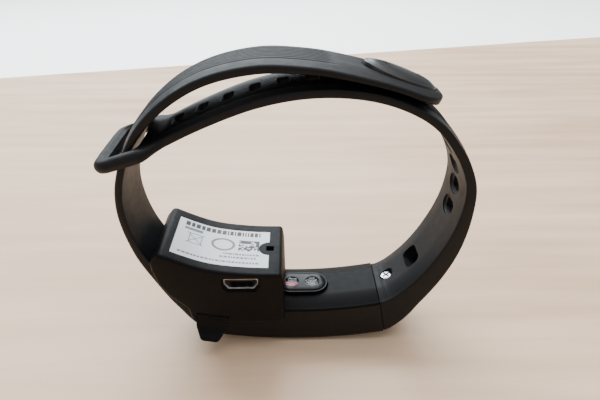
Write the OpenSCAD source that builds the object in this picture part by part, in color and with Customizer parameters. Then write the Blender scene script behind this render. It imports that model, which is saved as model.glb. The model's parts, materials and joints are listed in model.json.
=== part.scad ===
// Fitness tracker band, closed into its loop and lying on its display, with the charging cradle clipped on.
// The loop lies in the X-Z plane. The display is at the bottom, the strap's overlap is at the top, and the
// ring that the strap threads through is on the -X side. All lengths are in millimetres.

/* [Tracker] */
// Radius of the curved display side
front_r = 111.6; // [110:0.2:114]
// Length of the tracker between its strap seams, along the display
tracker_len = 42.4; // [41:0.2:43]
// Width of the tracker across the arm
tracker_w = 16.2; // [16:0.1:16.4]
// Thickness of the tracker at its middle
tracker_t = 11.5; // [11.2:0.1:11.8]
// How far the back's edges fall below its crown
back_crown = 1.3; // [1:0.1:1.5]
// Wall thickness of the housing
wall = 1.2; // [1:0.1:1.3]

/* [Sensor] */
// Length of the raised sensor window
pill_len = 13; // [12:0.2:13.6]
// Width of the raised sensor window
pill_w = 7.6; // [7:0.2:8]
// Height of the window above the back
pill_rise = 1.2; // [0.8:0.1:1.4]
// Radius of each sensor lens
lens_r = 1.7; // [1.4:0.1:1.8]
// Distance between the two lenses
lens_pitch = 5.2; // [4.8:0.1:5.4]

/* [Straps] */
// Width of both straps
strap_w = 15.6; // [15:0.1:16]
// Number of adjustment holes
hole_count = 15; // [10:1:15]
// Distance between neighbouring holes, along the strap
hole_pitch = 5.8; // [5.6:0.1:5.9]
// Length of a hole along the strap
hole_len = 2.6; // [2.4:0.1:3]
// Length of a hole across the strap
hole_w = 4.2; // [4:0.1:5]
// Width of the ring across the strap
ring_w = 21.4; // [20:0.1:22]
// Thickness of the ring
ring_t = 3.2; // [2.8:0.1:3.4]

/* [Clasp] */
// Length of the oval button
button_len = 16; // [14:0.5:17]
// Width of the oval button
button_w = 9.4; // [8:0.2:10]
// Height of the button above the strap
button_rise = 1.3; // [1:0.1:1.4]

/* [Cradle] */
// Thickness of the cradle's side walls
side_wall = 2; // [1.8:0.1:2.2]
// Gap between the cradle and the tracker's sides
side_gap = 0.3; // [0.25:0.05:0.4]
// Width of the release lever
lever_w = 7.6; // [7:0.2:8]
// How far the lever's tab stands out from the side wall
tab_flare = 2.8; // [2:0.1:3]

/* [Hidden] */
$fn = 48;

// --- Shared frame -------------------------------------------------------------------------------------
// The mid-plane of the band is moved so that the whole object is centred, although the tab is on one side.
cradle_half = tracker_w / 2 + side_gap + side_wall;
mid_y = tab_flare / 2;
// Centre of the tracker's arcs
arc_x = 2;
arc_z = front_r;
end_angle = asin(tracker_len / 2 / front_r);
back_r = front_r - tracker_t;
edge_r = back_r + back_crown;
side_r = edge_r + 0.4;

function arc_point(r, a) = [arc_x + r * sin(a), arc_z - r * cos(a)];

module on_band() { translate([0, mid_y, 0]) children(); }

// Extrudes an X-Z outline across the band, from y0 to y1
module across(y0, y1) { translate([0, y1, 0]) rotate([90, 0, 0]) linear_extrude(y1 - y0) children(); }

// Turns a section (distance from the arc's centre, distance across) through the angles a0 to a1
module swept(a0, a1) {
    translate([arc_x, 0, arc_z]) rotate([90, 0, 0]) rotate([0, 0, 270 + a0])
        rotate_extrude(angle = a1 - a0, $fn = 720) children();
}

// A local frame on the tracker's arc: X along the band, Z towards the wrist, at radius r and angle a
module at_arc(r, a) { translate([arc_x, 0, arc_z]) rotate([0, -a, 0]) translate([0, 0, -r]) children(); }

module stadium(length, width) {
    square([length - width, width], center = true);
    for (s = [-1, 1]) translate([s * (length - width) / 2, 0]) circle(d = width);
}

// --- Curves -------------------------------------------------------------------------------------------
// Catmull-Rom interpolation of [x, z, thickness] stations
function cr(a, b, c, d, t) =
    0.5 * (2 * b + (c - a) * t + (2 * a - 5 * b + 4 * c - d) * t * t + (3 * b - a - 3 * c + d) * t * t * t);
function smooth(p, n) = concat(
    [for (i = [1 : len(p) - 3], k = [0 : n - 1]) cr(p[i - 1], p[i], p[i + 1], p[i + 2], k / n)],
    [p[len(p) - 2]]);
function xz(p) = [p[0], p[1]];
function tangent(c, i) =
    let (a = xz(c[max(i - 1, 0)]), b = xz(c[min(i + 1, len(c) - 1)])) (b - a) / norm(b - a);
// Points of one face of a strap: side = 1 is the left of the running direction
function face(c, side) =
    [for (i = [0 : len(c) - 1]) let (t = tangent(c, i)) xz(c[i]) + side * c[i][2] / 2 * [-t[1], t[0]]];
function reversed(p) = [for (i = [len(p) - 1 : -1 : 0]) p[i]];
function outline(c) = concat(face(c, 1), reversed(face(c, -1)));
// Arc length from the first point of a curve to each point
function run(c, i = 0, s = 0) =
    i >= len(c) - 1 ? [s] : concat([s], run(c, i + 1, s + norm(xz(c[i + 1]) - xz(c[i]))));
// Place and direction at arc length s: [x, z, angle]
function place(c, lengths, s) =
    let (i = max([for (k = [0 : len(c) - 2]) lengths[k] <= s ? k : 0]),
         f = (s - lengths[i]) / (lengths[i + 1] - lengths[i]),
         p = xz(c[i]) * (1 - f) + xz(c[i + 1]) * f,
         d = xz(c[i + 1]) - xz(c[i]))
    [p[0], p[1], atan2(d[1], d[0])];

// Strap stations [x, z, thickness], from inside the tracker's end outwards. The first and last only set
// the direction in which the strap starts and ends.
seam_r = back_r + tracker_t / 2 + 0.25;
seam_t = tracker_t - 0.5;
function seam_station(a) = let (p = arc_point(seam_r, a)) [p[0], p[1], seam_t];
start_angle = end_angle - 1;
ring_stations = [
    seam_station(start_angle - 5), seam_station(start_angle),
    [28.8, 13.2, 7.4], [33.8, 20.6, 5.5], [37.2, 29, 4.3], [38.7, 37.6, 3.3], [38.2, 44.8, 2.8],
    [34.4, 52.3, 2.5], [28.1, 58.9, 2.3], [18, 63.3, 2.3], [6, 64.5, 2.3], [-6, 62.7, 2.4],
    [-18, 58.2, 2.4], [-29.2, 52.8, 2.4], [-36, 50.6, 2.4]];
stud_stations = [
    seam_station(5 - start_angle), seam_station(-start_angle),
    [-25.4, 13, 7.2], [-30.9, 20.1, 4.2], [-34.8, 27.7, 3], [-36.8, 36.6, 2.6], [-36.3, 44.2, 2.5],
    [-33.6, 51.6, 2.4], [-29.5, 57.9, 2.5], [-23, 63.6, 2.6], [-15.5, 67.4, 2.6], [-6.5, 69.3, 2.6],
    [2, 69.2, 2.4], [10, 68.1, 2.2], [21.8, 65.1, 2.1], [31, 61.2, 2.1], [38, 57.6, 2.1]];
// Where the stud strap bends when its end is lifted off
bend = [6, 68.75];
knuckle_r = 1.15;
ring_line = smooth(ring_stations, 7);
stud_line = smooth(stud_stations, 7);

// --- Tracker ------------------------------------------------------------------------------------------
lens_t = 1.1;
ledge = 0.8;
lens_half = tracker_w / 2 - 0.9;
lens_angle = end_angle - 0.6;
cavity_angle = end_angle - 0.7;
display_half = 5.4;

// Section of the front glass: softly turned edges towards the sides
module lens_section() {
    polygon([[front_r - lens_t, -lens_half], [front_r - 0.5, -lens_half], [front_r - 0.15, -lens_half + 0.5],
             [front_r, -lens_half + 1.4], [front_r, lens_half - 1.4], [front_r - 0.15, lens_half - 0.5],
             [front_r - 0.5, lens_half], [front_r - lens_t, lens_half]]);
}
module front_lens() {
    color([0.02, 0.02, 0.03]) on_band() swept(-lens_angle, lens_angle) lens_section();
}
module display_panel() {
    color([0.1, 0.1, 0.12]) on_band() swept(-7.6, 7.6)
        translate([front_r - lens_t - 1.2, -display_half]) square([1.1, 2 * display_half]);
}
module front_housing() {
    half = tracker_w / 2;
    lens_seat = front_r - lens_t;
    color([0.09, 0.09, 0.1]) on_band() {
        difference() {
            swept(-end_angle, end_angle)
                polygon([[side_r, -half], [front_r - 1.5, -half], [front_r - 0.4, -half + 0.5],
                         [front_r - 0.2, -lens_half], [front_r - 0.2, lens_half], [front_r - 0.4, half - 0.5],
                         [front_r - 1.5, half], [side_r, half]]);
            // Seat for the glass
            swept(-lens_angle - 0.05, lens_angle + 0.05)
                translate([lens_seat, -lens_half - 0.05]) square([3, 2 * lens_half + 0.1]);
            // Display opening in the ledge under the glass
            swept(-8, 8) translate([lens_seat - ledge - 1, -display_half - 0.3])
                square([3, 2 * display_half + 0.6]);
            // Room inside
            swept(-cavity_angle, cavity_angle)
                translate([side_r - 1, -half + wall]) square([lens_seat - ledge - side_r + 1, 2 * (half - wall)]);
        }
        for (s = [-1, 1]) difference() {
            at_arc(lug_r, s * lug_angle) cube([lug_len, lug_w, lug_t], center = true);
            at_arc(lug_r, s * lug_angle) cylinder(r = screw_r, h = 8, center = true);
        }
    }
}
// Lugs that the straps slip over, one at each end
lug_r = 105.8;
lug_len = 6.6;
lug_w = 8;
lug_t = 3.4;
lug_angle = end_angle + lug_len / 2 * 180 / (PI * lug_r) - 0.02;
seam_gap = 0.03;
screw_r = 0.7;
screw_head_r = 1.4;
screw_top = 99.6;

module housing_gasket() {
    y = tracker_w / 2 - wall;
    color([0.25, 0.25, 0.27]) on_band() difference() {
        swept(-cavity_angle + 0.05, cavity_angle - 0.05) translate([side_r + 0.1, -y + 0.05])
            square([0.7, 2 * y - 0.1]);
        swept(-cavity_angle + 0.45, cavity_angle - 0.45) translate([side_r - 1, -y + 0.75])
            square([3, 2 * y - 1.5]);
    }
}
board_z = 8.5;
board_t = 0.8;
module battery() {
    color([0.75, 0.76, 0.78]) on_band() translate([-5.5, 0, 6.45]) {
        cube([18, 11, 3.4], center = true);
        translate([9.4, 0, 0]) cube([0.8, 9, 2.6], center = true);
    }
}
module vibration_motor() {
    color([0.7, 0.7, 0.72]) on_band() translate([11.2, 0, 0]) {
        translate([0, 0, 5]) cylinder(r = 4, h = 2.6);
        translate([0, 0, 7.6]) cylinder(r = 1.2, h = 0.3);
    }
}
module main_board() {
    color([0.1, 0.35, 0.2]) on_band() {
        translate([1.5, 0, board_z + board_t / 2]) cube([31, 12, board_t], center = true);
        translate([12.8, 1.5, board_z + board_t]) linear_extrude(1) square([5, 5], center = true);
        translate([-9.5, 0, board_z + board_t]) linear_extrude(0.6) square([3.6, 7], center = true);
    }
}
pill_x = 2.6;
pill_base = board_z + board_t + 0.1;
chip_base = pill_base + 0.5;
chip_h = 1.5;
pill_top = front_r - back_r + pill_rise;
module sensor_board() {
    color([0.1, 0.3, 0.2]) on_band() translate([pill_x, 0, pill_base]) linear_extrude(0.5)
        square([10.2, 5.4], center = true);
}
module sensor_chips() {
    color([0.6, 0.85, 0.6]) on_band() for (s = [-1, 1])
        translate([pill_x + s * lens_pitch / 2, 0, chip_base]) linear_extrude(chip_h)
            square([1.8, 1.8], center = true);
}
module sensor_window() {
    color([0.05, 0.05, 0.06]) on_band() translate([pill_x, 0, 0]) difference() {
        translate([0, 0, chip_base + 0.1]) linear_extrude(pill_top - chip_base - 0.1) stadium(pill_len, pill_w);
        for (s = [-1, 1]) translate([s * lens_pitch / 2, 0, chip_base])
            cylinder(r = lens_r + 0.02, h = 5);
    }
}
module sensor_lenses() {
    color([0.8, 0.6, 0.6, 0.8]) on_band() for (s = [-1, 1])
        translate([pill_x + s * lens_pitch / 2, 0, pill_top - 0.95]) cylinder(r = lens_r, h = 0.85);
}
contact_x = -11;
contact_pitch = 5;
contact_r = 1.1;
contact_top = arc_z - sqrt(back_r * back_r - pow(contact_x - arc_x, 2));
module charge_contacts() {
    color([0.85, 0.7, 0.35]) on_band() for (s = [-1, 1])
        translate([contact_x, s * contact_pitch / 2, contact_top - 1.7]) {
            cylinder(r = contact_r, h = 1.6);
            translate([0, 0, -0.6]) cylinder(r = 0.5, h = 0.7);
        }
}
// Section of the back cover: a low crown with sloping shoulders
module cover_section() {
    half = tracker_w / 2;
    polygon([[back_r, -3.4], [back_r + 0.35, -5.2], [back_r + 0.8, -6.7], [edge_r, -half + 0.15],
             [side_r - 0.05, -half], [side_r - 0.05, half], [edge_r, half - 0.15], [back_r + 0.8, 6.7],
             [back_r + 0.35, 5.2], [back_r, 3.4]]);
}
module rear_cover() {
    color([0.1, 0.1, 0.11]) on_band() difference() {
        swept(-end_angle, end_angle) cover_section();
        swept(-cavity_angle, cavity_angle) translate([back_r + 1, -5.9]) square([3, 11.8]);
        translate([pill_x, 0, 0]) linear_extrude(30) stadium(pill_len + 0.1, pill_w + 0.1);
        for (s = [-1, 1]) translate([contact_x, s * contact_pitch / 2, 0]) cylinder(r = contact_r + 0.05, h = 30);
    }
}

// --- Straps -------------------------------------------------------------------------------------------
// What the tracker takes out of a strap's end: its own end face, the lug and the screw
module strap_pocket(s) {
    swept(-end_angle - seam_gap, end_angle + seam_gap) translate([back_r - 6, -20]) square([30, 40]);
    at_arc(lug_r, s * lug_angle) cube([lug_len + 0.3, lug_w + 0.2, lug_t + 0.2], center = true);
    at_arc(lug_r, s * lug_angle) cylinder(r = screw_r + 0.2, h = 10);
    at_arc(screw_top, s * lug_angle) translate([0, 0, -0.9]) cylinder(r = screw_head_r + 0.25, h = 6);
}
module strap_screws() {
    color([0.8, 0.8, 0.82]) on_band() for (s = [-1, 1]) {
        at_arc(screw_top, s * lug_angle) difference() {
            translate([0, 0, -0.85]) cylinder(r = screw_head_r, h = 0.85);
            for (a = [0, 90]) rotate([0, 0, a]) cube([1.7, 0.4, 0.7], center = true);
        }
        at_arc(lug_r + lug_t / 2, s * lug_angle) cylinder(r = screw_r - 0.04, h = lug_r + lug_t / 2 - screw_top - 0.8);
    }
}

// The ring's own frame: X runs from the strap's end to the ring's tip, Z towards the wrist
ring_at = [-29.2, 52.8];
ring_tilt = 17.6;
ring_len = 11.2;
slot_start = 1.1;
slot_end = 7.9;
slot_half = strap_w / 2 + 0.35;
corner_r = 3.6;
module ring_frame() { translate([ring_at[0], 0, ring_at[1]]) rotate([0, 180 - ring_tilt, 0]) children(); }
// Plan of the ring: shoulders that widen from the strap, straight sides, rounded corners and a long slot
module ring_plan() {
    half = ring_w / 2;
    side = concat(
        [[-4.5, strap_w / 2], [-3, strap_w / 2 + 0.3], [-1.2, half - 0.7], [0.8, half]],
        [for (a = [90 : -15 : 0]) [ring_len - corner_r + corner_r * cos(a), half - corner_r + corner_r * sin(a)]]);
    difference() {
        polygon(concat(side, [for (p = reversed(side)) [p[0], -p[1]]]));
        translate([(slot_start + slot_end) / 2, 0])
            square([slot_end - slot_start, 2 * slot_half], center = true);
    }
}
ring_lengths = run(ring_line);
ring_total = ring_lengths[len(ring_lengths) - 1];
// Holes are counted from the one nearest the ring
first_hole = ring_total - 7;
function hole_place(k) = place(ring_line, ring_lengths, first_hole - k * hole_pitch);
stud_hole = 8;
function turned(p) = [0, -p[2], 0];
module ring_strap() {
    color([0.13, 0.13, 0.14]) on_band() {
        difference() {
            across(-strap_w / 2, strap_w / 2) polygon(outline(ring_line));
            strap_pocket(1);
            for (k = [0 : hole_count - 1]) let (p = hole_place(k))
                translate([p[0], 0, p[1]]) rotate(turned(p)) rotate([0, 0, 90]) linear_extrude(8, center = true)
                    stadium(hole_w, hole_len);
            // Slot beside the strap's end
            translate([32.5, 0, 18.6]) rotate([0, -60, 0]) linear_extrude(2.4, center = true)
                square([3.4, 5.4], center = true);
            // Makes way for the ring
            ring_frame() translate([0, -15, -5]) cube([20, 30, 10]);
        }
        ring_frame() difference() {
            linear_extrude(ring_t, center = true) ring_plan();
            // The shoulders thin down to the strap
            for (a = [90, 270]) rotate([a, 0, 0]) linear_extrude(30, center = true)
                polygon([[-6, 1.2], [-0.8, 1.2], [1.6, ring_t / 2], [1.6, 4], [-6, 4]]);
        }
    }
}
module stud_strap_base() {
    color([0.12, 0.12, 0.13]) on_band() difference() {
        across(-strap_w / 2, strap_w / 2) polygon(outline(stud_line));
        strap_pocket(-1);
        // Hollow end that the tail's knuckle turns in
        translate([bend[0], 20, bend[1]]) rotate([90, 0, 0]) cylinder(r = knuckle_r + 0.2, h = 40);
        translate([bend[0] - 0.3, -20, bend[1] - 20]) cube([60, 40, 40]);
    }
}
// Plan of the tail's tip: a half ellipse
stud_lengths = run(stud_line);
tail_end = place(stud_line, stud_lengths, stud_lengths[len(stud_lengths) - 1]);
module tip_trim() {
    long = 7;
    half = strap_w / 2;
    translate([tail_end[0] - long * cos(tail_end[2]), 0, tail_end[1] - long * sin(tail_end[2])])
        rotate([0, -tail_end[2], 0]) linear_extrude(12, center = true) difference() {
            translate([0, -half - 1]) square([long + 2, 2 * half + 2]);
            polygon([for (a = [-90 : 10 : 90]) [long * cos(a), half * sin(a)]]);
        }
}
stud_at = hole_place(stud_hole);
button_seat = 1.7;
button_shift = -0.8;
// The clasp's frame stands on the ring strap's middle, with X towards the tail's tip and Z outwards
clasp_lift = 1.6;
module clasp_frame() {
    translate([stud_at[0], 0, stud_at[1]]) rotate([0, 180 - stud_at[2], 0]) translate([0, 0, clasp_lift])
        children();
}
module oval(length, width, height) {
    linear_extrude(height) polygon([for (a = [0 : 10 : 350]) [length / 2 * cos(a), width / 2 * sin(a)]]);
}
module stud_strap_tail() {
    color([0.12, 0.12, 0.13]) on_band() difference() {
        union() {
            difference() {
                across(-strap_w / 2, strap_w / 2) polygon(outline(stud_line));
                translate([bend[0] - 60, -20, bend[1] - 80]) cube([60, 40, 100]);
            }
            translate([bend[0], strap_w / 2, bend[1]]) rotate([90, 0, 0])
                cylinder(r = knuckle_r, h = strap_w);
        }
        tip_trim();
        // Room for the clasp's shank, and the seat of its button
        clasp_frame() translate([0, 0, -1.5]) linear_extrude(6) rotate([0, 0, 90]) stadium(3.04, 1.54);
        clasp_frame() translate([button_shift, 0, button_seat - 0.02]) oval(button_len + 0.3, button_w + 0.3, 6);
    }
}
module clasp_button() {
    color([0.16, 0.17, 0.18]) on_band() clasp_frame() translate([button_shift, 0, 0]) {
        translate([0, 0, button_seat]) oval(button_len, button_w, button_rise);
        translate([0, 0, button_seat + button_rise]) oval(button_len - 1.6, button_w - 1.6, 0.35);
    }
}
// The stud goes through the hole: a shank, and a head just inside the loop
module clasp_stud() {
    color([0.15, 0.15, 0.16]) on_band() clasp_frame() rotate([0, 0, 90]) {
        translate([0, 0, -clasp_lift - 1.3]) linear_extrude(clasp_lift + 1.3 + button_seat) stadium(3, 1.5);
        translate([0, 0, -clasp_lift - 2.2]) linear_extrude(0.95) stadium(3.5, 1.9);
    }
}

// --- Charging cradle ----------------------------------------------------------------------------------
shell_t = 1.5;
core_gap = 0.25;
core_r = back_r - core_gap;
core_half = tracker_w / 2 + side_gap;
cradle_right = -2.3;
top_stations = [[-35, 32.4], [-29.6, 29.2], [-20.2, 25], [-11.2, 23.4], [cradle_right, 23], [5, 23]];
function smooth2(p, n) = [for (q = smooth([for (v = p) [v[0], v[1], 0]], n)) xz(q)];
top_line = smooth2(top_stations, 6);
// Underside of the core: along the tracker's back, then along the strap's inner face
under_line = concat(
    [for (a = [-2.4 : -1.55 : -11.8]) arc_point(core_r, a)],
    [[-22.8, 16.9], [-26.4, 20], [-29, 23.2], [-30.6, 25.8]]);
under_upper = [for (p = under_line) p + [0.35, 1.5]];
wall_left = [[-31.7, 26.6], [-31.5, 24.3], [-30.5, 20.6], [-28.5, 17.2], [-24.6, 13.2], [-23.7, 8.8]];
wall_foot = 8.6;
wall_right = [[-13.6, wall_foot], [-1.7, wall_foot], [-1.9, 20]];
usb_at = [-11.7, 20.1];

module cradle_case() {
    color([0.16, 0.16, 0.17]) on_band() difference() {
        across(-cradle_half, cradle_half)
            polygon(concat(top_line, reversed(wall_right), reversed(wall_left)));
        // Channel over the tracker and the strap
        across(-core_half, core_half)
            polygon(concat([[5, 0], [5, 14]], [[-0.5, under_line[0][1]]], under_line,
                           [[-34, 27.2], [-34, 0]]));
        // Room for the electronics, open to the base
        across(-core_half + 0.05, core_half - 0.05)
            polygon(concat([for (p = top_line) if (p[0] < -4.2 && p[0] > -27.5) p - [0, shell_t]],
                           [[-3.9, 21.5], [-3.9, 8], [-20, 8], [-26.9, 20.2]]));
        // Seat of the base
        across(-core_half + 0.1, core_half - 0.1) base_outline();
        // Room for the end of the sensor window
        translate([pill_x, 0, 0]) linear_extrude(pill_top + 0.4) stadium(pill_len + 0.8, pill_w + 0.8);
        usb_opening();
        label_slice(3.3, 3);
        // Square latch hole in the top
        translate([-5.2, 0, 22]) cube([1.7, 1.7, 6], center = true);
        lever_pocket();
    }
}
module usb_outline(grow) {
    w = 3.8 + grow;
    h = 1.3 + grow;
    polygon([[-w, h], [w, h], [w, 0], [w - 1, -h], [-w + 1, -h], [-w, 0]]);
}
module usb_opening() {
    translate([usb_at[0], 0, usb_at[1]]) across(-20, -core_half + 1) usb_outline(0.25);
}
module usb_shell() {
    color([0.75, 0.75, 0.77]) on_band() translate([usb_at[0], 0, usb_at[1]]) difference() {
        across(-cradle_half + 0.6, -cradle_half + 6.2) usb_outline(0.15);
        across(-20, -cradle_half + 5.7) usb_outline(-0.15);
    }
}
module usb_tongue() {
    color([0.08, 0.08, 0.09]) on_band() translate([usb_at[0], 0, usb_at[1] + 0.35])
        across(-cradle_half + 1.6, -cradle_half + 5.7) square([5.6, 0.6], center = true);
}
board_floor = usb_at[1] - 2.6;
module cradle_board() {
    color([0.1, 0.35, 0.2]) on_band() {
        translate([-12.4, 0, board_floor + 0.5]) cube([15.6, 15.6, 1], center = true);
        translate([-16.5, 3, board_floor + 1]) linear_extrude(0.9) square([3, 3], center = true);
    }
}
module base_outline() {
    polygon(concat([for (p = under_line) if (p[0] < -4.3) p], [[-29.6, 25.6], [-27.2, 22.4]],
                   [for (p = reversed(under_upper)) if (p[0] < -4.3 && p[0] > -26) p]));
}
module cradle_base() {
    color([0.14, 0.14, 0.15]) on_band() difference() {
        across(-core_half + 0.15, core_half - 0.15) base_outline();
        for (s = [-1, 1]) translate([contact_x, s * contact_pitch / 2, 8]) cylinder(r = 0.85, h = 20);
        // Relief over the strap screw's head
        at_arc(screw_top, -lug_angle) translate([0, 0, -0.6]) cylinder(r = screw_head_r + 0.4, h = 0.9);
    }
}
// The label lies in a shallow recess that follows the top
label_x0 = -27.6;
label_x1 = -5.4;
label_y0 = -7.6;
label_y1 = 7.2;
notch_r = 2.5;
module label_plan() {
    difference() {
        translate([label_x0, label_y0]) square([label_x1 - label_x0, label_y1 - label_y0]);
        translate([label_x1, 0]) circle(r = notch_r);
    }
}
module label_slice(depth, lift) {
    intersection() {
        across(-12, 12) polygon(concat([for (p = top_line) p + [0, lift]],
                                       [for (p = reversed(top_line)) p - [0, depth - lift]]));
        linear_extrude(60) label_plan();
    }
}
module cradle_label() { color([0.95, 0.95, 0.94]) on_band() label_slice(0.15, -0.1); }

pin_r = 0.45;
module at_pins() {
    for (s = [-1, 1]) translate([contact_x, s * contact_pitch / 2, 0]) children();
}
barrel_foot = contact_top + 1.1;
module pin_barrels() {
    color([0.8, 0.66, 0.3]) on_band() at_pins() translate([0, 0, barrel_foot]) difference() {
        cylinder(r = 0.8, h = board_floor - barrel_foot);
        translate([0, 0, -1]) cylinder(r = 0.55, h = board_floor - barrel_foot + 0.6);
    }
}
pin_top = barrel_foot + 1.4;
spring_wire = 0.08;
// A spring is a stack of closed turns between a pin's top and the roof of its barrel
module pin_spring(s) {
    turns = 6;
    roof = board_floor - 0.4;
    pitch = (roof - pin_top - 2 * spring_wire) / (turns - 1);
    color([0.7, 0.7, 0.72]) on_band() translate([contact_x, s * contact_pitch / 2, pin_top + spring_wire])
        for (i = [0 : turns - 1]) translate([0, 0, i * pitch])
            rotate_extrude() translate([0.36, 0]) circle(r = spring_wire);
}
module pin_spring_front() { pin_spring(-1); }
module pin_spring_back() { pin_spring(1); }
module charge_pin(s) {
    tip = contact_top - 0.06;
    color([0.85, 0.7, 0.35]) on_band() translate([contact_x, s * contact_pitch / 2, tip]) {
        cylinder(r1 = 0.3, r2 = pin_r, h = 0.3);
        translate([0, 0, 0.3]) cylinder(r = pin_r, h = pin_top - tip - 0.3);
    }
}
module charge_pin_front() { charge_pin(-1); }
module charge_pin_back() { charge_pin(1); }

// --- Release lever ------------------------------------------------------------------------------------
// Its frame: X along the pivot, Z up the wall, Y towards the band; it leans with the tracker's end
lever_tilt = 11;
lever_at = [-18.9, -core_half - side_wall / 2, 10.2];
module lever_frame() { translate(lever_at) rotate([0, lever_tilt, 0]) children(); }
module along_x(x0, x1) { translate([x0, 0, 0]) rotate([90, 0, 90]) linear_extrude(x1 - x0) children(); }
pivot_r = 0.5;
module lever_pocket() {
    lever_frame() {
        translate([-lever_w / 2 - 0.15, -4, -20]) cube([lever_w + 0.3, 8, 21.2]);
        rotate([0, 90, 0]) cylinder(r = pivot_r, h = lever_w + 2.1, center = true);
    }
}
module release_lever() {
    t = side_wall / 2;
    f = tab_flare;
    half = lever_w / 2;
    color([0.12, 0.12, 0.13]) on_band() lever_frame() difference() {
        union() {
            intersection() {
                along_x(-half, half)
                    polygon([[-t, -0.2], [-t, -1.3], [-t - f * 0.35, -2.5], [-t - f, -4.6], [-t - f + 0.4, -5.4],
                             [-t - f * 0.3 + 0.4, -5.1], [t - 0.1, -3.9], [t - 0.1, -0.2]]);
                // The tab narrows towards its lip
                rotate([90, 0, 0]) linear_extrude(20, center = true)
                    polygon([[-half, 0], [-half, -2.3], [-half + 0.4, -3.9], [-half + 1.6, -5.7], [half - 2, -5.7],
                             [half - 1, -4.1], [half, -1.7], [half, 0]]);
            }
            rotate([0, 90, 0]) cylinder(r = t - 0.05, h = lever_w, center = true);
        }
        rotate([0, 90, 0]) cylinder(r = pivot_r + 0.04, h = 20, center = true);
        // Gap for the spring, which leaves a thin skin in front of it
        translate([-1.3, -0.78, -1.15]) cube([2.6, 4, 4]);
    }
}
module lever_pin() {
    color([0.75, 0.75, 0.77]) on_band() lever_frame() rotate([0, 90, 0])
        cylinder(r = pivot_r - 0.02, h = lever_w + 1.8, center = true);
}
module lever_spring() {
    color([0.7, 0.7, 0.72]) on_band() lever_frame() rotate([0, 90, 0]) for (i = [-2 : 2])
        translate([0, 0, i * 0.42]) rotate_extrude() translate([0.62, 0]) circle(r = 0.11);
}

front_lens();
display_panel();
front_housing();
housing_gasket();
battery();
vibration_motor();
main_board();
sensor_board();
sensor_chips();
sensor_window();
sensor_lenses();
charge_contacts();
rear_cover();
strap_screws();
ring_strap();
stud_strap_base();
stud_strap_tail();
clasp_button();
clasp_stud();
cradle_case();
cradle_base();
cradle_label();
cradle_board();
usb_shell();
usb_tongue();
pin_barrels();
pin_spring_front();
pin_spring_back();
charge_pin_front();
charge_pin_back();
release_lever();
lever_pin();
lever_spring();
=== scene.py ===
"""Looks of the fitness tracker band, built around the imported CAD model. Meshes are made in millimetres, and
piece() turns them into metres. The loop lies in the X-Z plane and Y runs across the arm."""
import json
import math
import random

import bmesh
import bpy
import numpy as np
from mathutils import Matrix, Vector


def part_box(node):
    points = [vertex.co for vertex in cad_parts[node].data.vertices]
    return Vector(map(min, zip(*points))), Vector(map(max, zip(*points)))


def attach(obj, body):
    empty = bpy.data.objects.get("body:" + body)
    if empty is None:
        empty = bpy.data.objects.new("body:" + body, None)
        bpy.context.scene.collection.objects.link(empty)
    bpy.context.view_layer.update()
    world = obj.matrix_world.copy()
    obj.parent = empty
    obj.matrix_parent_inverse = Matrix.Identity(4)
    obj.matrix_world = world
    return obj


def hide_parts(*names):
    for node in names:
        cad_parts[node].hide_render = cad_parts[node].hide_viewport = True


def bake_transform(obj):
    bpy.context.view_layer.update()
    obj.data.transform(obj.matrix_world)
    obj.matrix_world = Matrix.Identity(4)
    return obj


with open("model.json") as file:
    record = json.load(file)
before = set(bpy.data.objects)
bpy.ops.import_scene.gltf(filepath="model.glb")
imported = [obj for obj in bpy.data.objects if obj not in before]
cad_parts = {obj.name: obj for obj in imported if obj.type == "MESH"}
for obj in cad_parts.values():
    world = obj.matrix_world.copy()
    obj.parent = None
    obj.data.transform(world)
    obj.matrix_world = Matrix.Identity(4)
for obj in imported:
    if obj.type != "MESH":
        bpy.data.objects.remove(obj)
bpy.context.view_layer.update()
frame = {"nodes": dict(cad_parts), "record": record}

MM = 0.001
# Points closer than this, in millimetres, are one point
SAME = 0.0005

# --- Driving sizes, as in the CAD design ----------------------------------------------------------------
FRONT_R = 111.6
TRACKER_T = 11.5
BACK_R = FRONT_R - TRACKER_T
EDGE_R = BACK_R + 1.3
SIDE_R = EDGE_R + 0.4
TRACKER_HALF = 8.1
ARC_X = 2
END_ANGLE = math.degrees(math.asin(21.2 / FRONT_R))
SEAM_GAP = 0.03
MID_Y = sum(v.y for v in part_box("battery")) / 2 / MM

STRAP_HALF = 7.8
RING_HALF = 10.7
RING_AT = (-29.2, 52.8)
RING_TILT = 17.6
RING_LEN = 11.2
RING_T = 3.2
HOLE_COUNT = 15
HOLE_PITCH = 5.8
STUD_HOLE = 8
CLASP_LIFT = 1.6
BUTTON_SEAT = 1.7
BUTTON_SHIFT = -0.8

SIDE_WALL = 2
CORE_HALF = TRACKER_HALF + 0.3
CRADLE_HALF = CORE_HALF + SIDE_WALL
CORE_R = BACK_R - 0.25
USB_AT = (-11.7, 20.1)
LABEL_X = (-27.6, -5.4)
LABEL_Y = (-7.6, 7.2)
LEVER_W = 7.6
LEVER_TILT = 11
LEVER_AT = (-18.9, MID_Y - CORE_HALF - SIDE_WALL / 2, 10.2)

PILL_X = 2.6
PILL_LEN = 13
PILL_W = 7.6
PILL_TOP = TRACKER_T + 1.2
LENS_R = 1.7
LENS_PITCH = 5.2
CONTACT_X = -11
CONTACT_PITCH = 5

# Strap stations [x, z, thickness], from inside the tracker's end outwards; the first and last only set
# the direction in which the strap starts and ends
SEAM_R = BACK_R + TRACKER_T / 2 + 0.25
SEAM_T = TRACKER_T - 0.5


def arc_point(r, angle):
    a = math.radians(angle)
    return ARC_X + r * math.sin(a), FRONT_R - r * math.cos(a)


def seam_station(angle):
    return [*arc_point(SEAM_R, angle), SEAM_T]


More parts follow.
